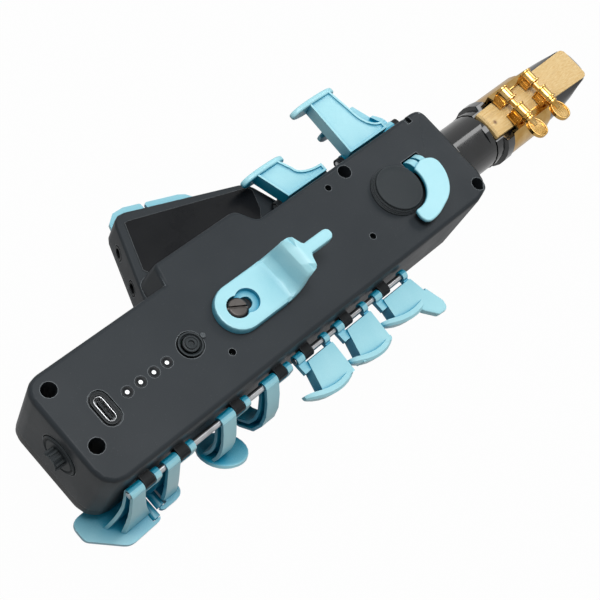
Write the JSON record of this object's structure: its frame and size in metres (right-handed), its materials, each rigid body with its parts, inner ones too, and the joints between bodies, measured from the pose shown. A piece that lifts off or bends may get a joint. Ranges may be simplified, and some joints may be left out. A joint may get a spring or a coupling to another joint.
{
  "type": "digital wind controller",
  "caption": "Straight digital wind controller: reed mouthpiece with ligature, round stack touches, palm, side and little finger keys, octave lever, thumb hook and charging socket.",
  "frame": {"origin": "under the middle of the bounding box, at the lowest point of the front touches that it lies on", "axes": "+X along the body from the bottom end to the mouthpiece, +Y to the wing side, +Z out of the back"},
  "size_m": [0.2638, 0.0992, 0.0581],
  "materials": {
    "shell_plastic": "fine satin grain",
    "cover_plastic": "satin",
    "key_plastic": "smooth semi-matte",
    "gloss_black": "polished",
    "soft_black": "matte",
    "steel": "turned",
    "dark_steel": "blackened",
    "gold_metal": "polished lacquer",
    "cane": "bare cane",
    "clear_plastic": "milky",
    "board": "solder mask",
    "cell_wrap": "film"
  },
  "bodies": {
    "casing": {"back_shell": "shell_plastic", "front_cover": "cover_plastic", "wing_cover": "cover_plastic", "case_screw_1": "dark_steel", "case_screw_2": "dark_steel", "case_screw_3": "dark_steel", "case_screw_4": "dark_steel", "usb_shell": "steel", "usb_tongue": "cover_plastic", "light_guide": "clear_plastic", "button_bezel": "cover_plastic", "hook_screw": "dark_steel", "thumb_rest": "soft_black", "octave_pin": "steel", "neck_tube": "gloss_black", "neck_sleeve": "soft_black", "lower_hinge_rail": "cover_plastic", "side_hinge_rail": "cover_plastic", "palm_hinge_rail": "cover_plastic", "lower_rod": "steel", "side_rod": "steel", "palm_rod_low": "steel", "palm_rod_high": "steel", "front_rod": "steel", "table_rod": "steel", "jack_socket_1": "cover_plastic", "jack_socket_2": "cover_plastic", "main_board": "board", "battery": "cell_wrap", "breath_sensor": "cover_plastic", "breath_hose": "soft_black"},
    "function_button": {"function_button": "cover_plastic"},
    "thumb_hook": {"thumb_hook": "key_plastic"},
    "octave_key": {"octave_key": "key_plastic"},
    "end_plug": {"end_plug": "soft_black"},
    "mouthpiece": {"mouthpiece": "gloss_black", "reed": "cane", "ligature_band": "gold_metal"},
    "ligature_screw_1": {"ligature_screw_1": "gold_metal"},
    "ligature_screw_2": {"ligature_screw_2": "gold_metal"},
    "pinky_key_large": {"pinky_key_large": "key_plastic"},
    "pinky_roller_large": {"pinky_roller_large": "key_plastic"},
    "pinky_key_small": {"pinky_key_small": "key_plastic"},
    "pinky_roller_small": {"pinky_roller_small": "key_plastic"},
    "stack_key_upper": {"stack_key_upper": "key_plastic"},
    "stack_key_lower": {"stack_key_lower": "key_plastic"},
    "side_key_1": {"side_key_1": "key_plastic"},
    "side_key_2": {"side_key_2": "key_plastic"},
    "side_key_3": {"side_key_3": "key_plastic"},
    "palm_key_low": {"palm_key_low": "key_plastic"},
    "palm_key_high": {"palm_key_high": "key_plastic"},
    "palm_key_mid": {"palm_key_mid": "key_plastic"},
    "front_key_1": {"front_key_1": "key_plastic"},
    "front_key_2": {"front_key_2": "key_plastic"},
    "front_key_3": {"front_key_3": "key_plastic"},
    "front_key_4": {"front_key_4": "key_plastic"},
    "table_key_1": {"table_key_1": "key_plastic"},
    "table_key_2": {"table_key_2": "key_plastic"}
  },
  "joints": [
    {"name": "pinky_large_press", "type": "hinge", "parent": "casing", "child": "pinky_key_large", "pos_m": [-0.11335, -0.03091, 0.0337], "axis": [1, 0, 0], "range_deg": [0, 6], "stiffness_Nm_per_rad": 0.08, "springref_deg": -20.05},
    {"name": "pinky_small_press", "type": "hinge", "parent": "casing", "child": "pinky_key_small", "pos_m": [-0.09945, -0.03091, 0.0337], "axis": [1, 0, 0], "range_deg": [0, 6], "stiffness_Nm_per_rad": 0.08, "springref_deg": -20.05},
    {"name": "stack_upper_press", "type": "hinge", "parent": "casing", "child": "stack_key_upper", "pos_m": [-0.07615, -0.03091, 0.0337], "axis": [1, 0, 0], "range_deg": [0, 6], "stiffness_Nm_per_rad": 0.08, "springref_deg": -20.05},
    {"name": "stack_lower_press", "type": "hinge", "parent": "casing", "child": "stack_key_lower", "pos_m": [-0.05715, -0.03091, 0.0337], "axis": [1, 0, 0], "range_deg": [0, 6], "stiffness_Nm_per_rad": 0.08, "springref_deg": -20.05},
    {"name": "side_1_press", "type": "hinge", "parent": "casing", "child": "side_key_1", "pos_m": [-0.04475, -0.03091, 0.0337], "axis": [1, 0, 0], "range_deg": [0, 6], "stiffness_Nm_per_rad": 0.05, "springref_deg": -17.19},
    {"name": "side_2_press", "type": "hinge", "parent": "casing", "child": "side_key_2", "pos_m": [-0.02575, -0.03091, 0.0337], "axis": [1, 0, 0], "range_deg": [0, 6], "stiffness_Nm_per_rad": 0.05, "springref_deg": -17.19},
    {"name": "side_3_press", "type": "hinge", "parent": "casing", "child": "side_key_3", "pos_m": [-0.00655, -0.03091, 0.0337], "axis": [1, 0, 0], "range_deg": [0, 6], "stiffness_Nm_per_rad": 0.05, "springref_deg": -17.19},
    {"name": "palm_low_press", "type": "hinge", "parent": "casing", "child": "palm_key_low", "pos_m": [-0.00385, 0.01389, 0.0344], "axis": [-1, 0, 0], "range_deg": [0, 5], "stiffness_Nm_per_rad": 0.05, "springref_deg": -17.19},
    {"name": "palm_high_press", "type": "hinge", "parent": "casing", "child": "palm_key_high", "pos_m": [0.0279, 0.01389, 0.0344], "axis": [-1, 0, 0], "range_deg": [0, 5], "stiffness_Nm_per_rad": 0.05, "springref_deg": -17.19},
    {"name": "palm_mid_press", "type": "hinge", "parent": "casing", "child": "palm_key_mid", "pos_m": [0.0418, 0.01389, 0.0344], "axis": [-1, 0, 0], "range_deg": [0, 5], "stiffness_Nm_per_rad": 0.05, "springref_deg": -17.19},
    {"name": "front_1_press", "type": "hinge", "parent": "casing", "child": "front_key_1", "pos_m": [-0.03615, 0.00299, 0.0072], "axis": [-1, 0, 0], "range_deg": [0, 8], "stiffness_Nm_per_rad": 0.1, "springref_deg": -28.65},
    {"name": "front_2_press", "type": "hinge", "parent": "casing", "child": "front_key_2", "pos_m": [-0.01015, 0.00299, 0.0072], "axis": [-1, 0, 0], "range_deg": [0, 8], "stiffness_Nm_per_rad": 0.1, "springref_deg": -28.65},
    {"name": "front_3_press", "type": "hinge", "parent": "casing", "child": "front_key_3", "pos_m": [0.00885, 0.00299, 0.0072], "axis": [-1, 0, 0], "range_deg": [0, 8], "stiffness_Nm_per_rad": 0.1, "springref_deg": -28.65},
    {"name": "front_4_press", "type": "hinge", "parent": "casing", "child": "front_key_4", "pos_m": [0.02785, 0.00299, 0.0072], "axis": [-1, 0, 0], "range_deg": [0, 8], "stiffness_Nm_per_rad": 0.1, "springref_deg": -28.65},
    {"name": "table_1_press", "type": "hinge", "parent": "casing", "child": "table_key_1", "pos_m": [-0.0511, 0.01849, 0.0149], "axis": [1, 0, 0], "range_deg": [0, 4], "stiffness_Nm_per_rad": 0.08, "springref_deg": -22.92},
    {"name": "table_2_press", "type": "hinge", "parent": "casing", "child": "table_key_2", "pos_m": [-0.03365, 0.01849, 0.0149], "axis": [1, 0, 0], "range_deg": [0, 4], "stiffness_Nm_per_rad": 0.08, "springref_deg": -22.92},
    {"name": "octave_press", "type": "hinge", "parent": "casing", "child": "octave_key", "pos_m": [0.0321, -0.00431, 0.0441], "axis": [1, 0, 0], "range_deg": [0, 4], "stiffness_Nm_per_rad": 0.05, "springref_deg": -17.19},
    {"name": "function_press", "type": "slide", "parent": "casing", "child": "function_button", "axis": [0, 0, -1], "range_m": [0, 0.0004], "stiffness_N_per_m": 300, "springref_m": -0.003},
    {"name": "hook_slide", "type": "slide", "parent": "casing", "child": "thumb_hook", "axis": [-1, 0, 0], "range_m": [0, 0.004]},
    {"name": "mouthpiece_slide", "type": "slide", "parent": "casing", "child": "mouthpiece", "axis": [1, 0, 0], "range_m": [0, 0.01]},
    {"name": "plug_pull", "type": "slide", "parent": "casing", "child": "end_plug", "axis": [-1, 0, 0], "range_m": [0, 0.005]},
    {"name": "ligature_1_turn", "type": "hinge", "parent": "mouthpiece", "child": "ligature_screw_1", "pos_m": [0.08555, -0.00851, 0.0464], "axis": [0, 1, 0], "continuous": true},
    {"name": "ligature_2_turn", "type": "hinge", "parent": "mouthpiece", "child": "ligature_screw_2", "pos_m": [0.10015, -0.00851, 0.0464], "axis": [0, 1, 0], "continuous": true},
    {"name": "roller_large_turn", "type": "hinge", "parent": "pinky_key_large", "child": "pinky_roller_large", "pos_m": [-0.10855, -0.0348, 0.0052], "axis": [0, 1, 0], "continuous": true},
    {"name": "roller_small_turn", "type": "hinge", "parent": "pinky_key_small", "child": "pinky_roller_small", "pos_m": [-0.1055, -0.0328, 0.0069], "axis": [0, 1, 0], "continuous": true}
  ]
}
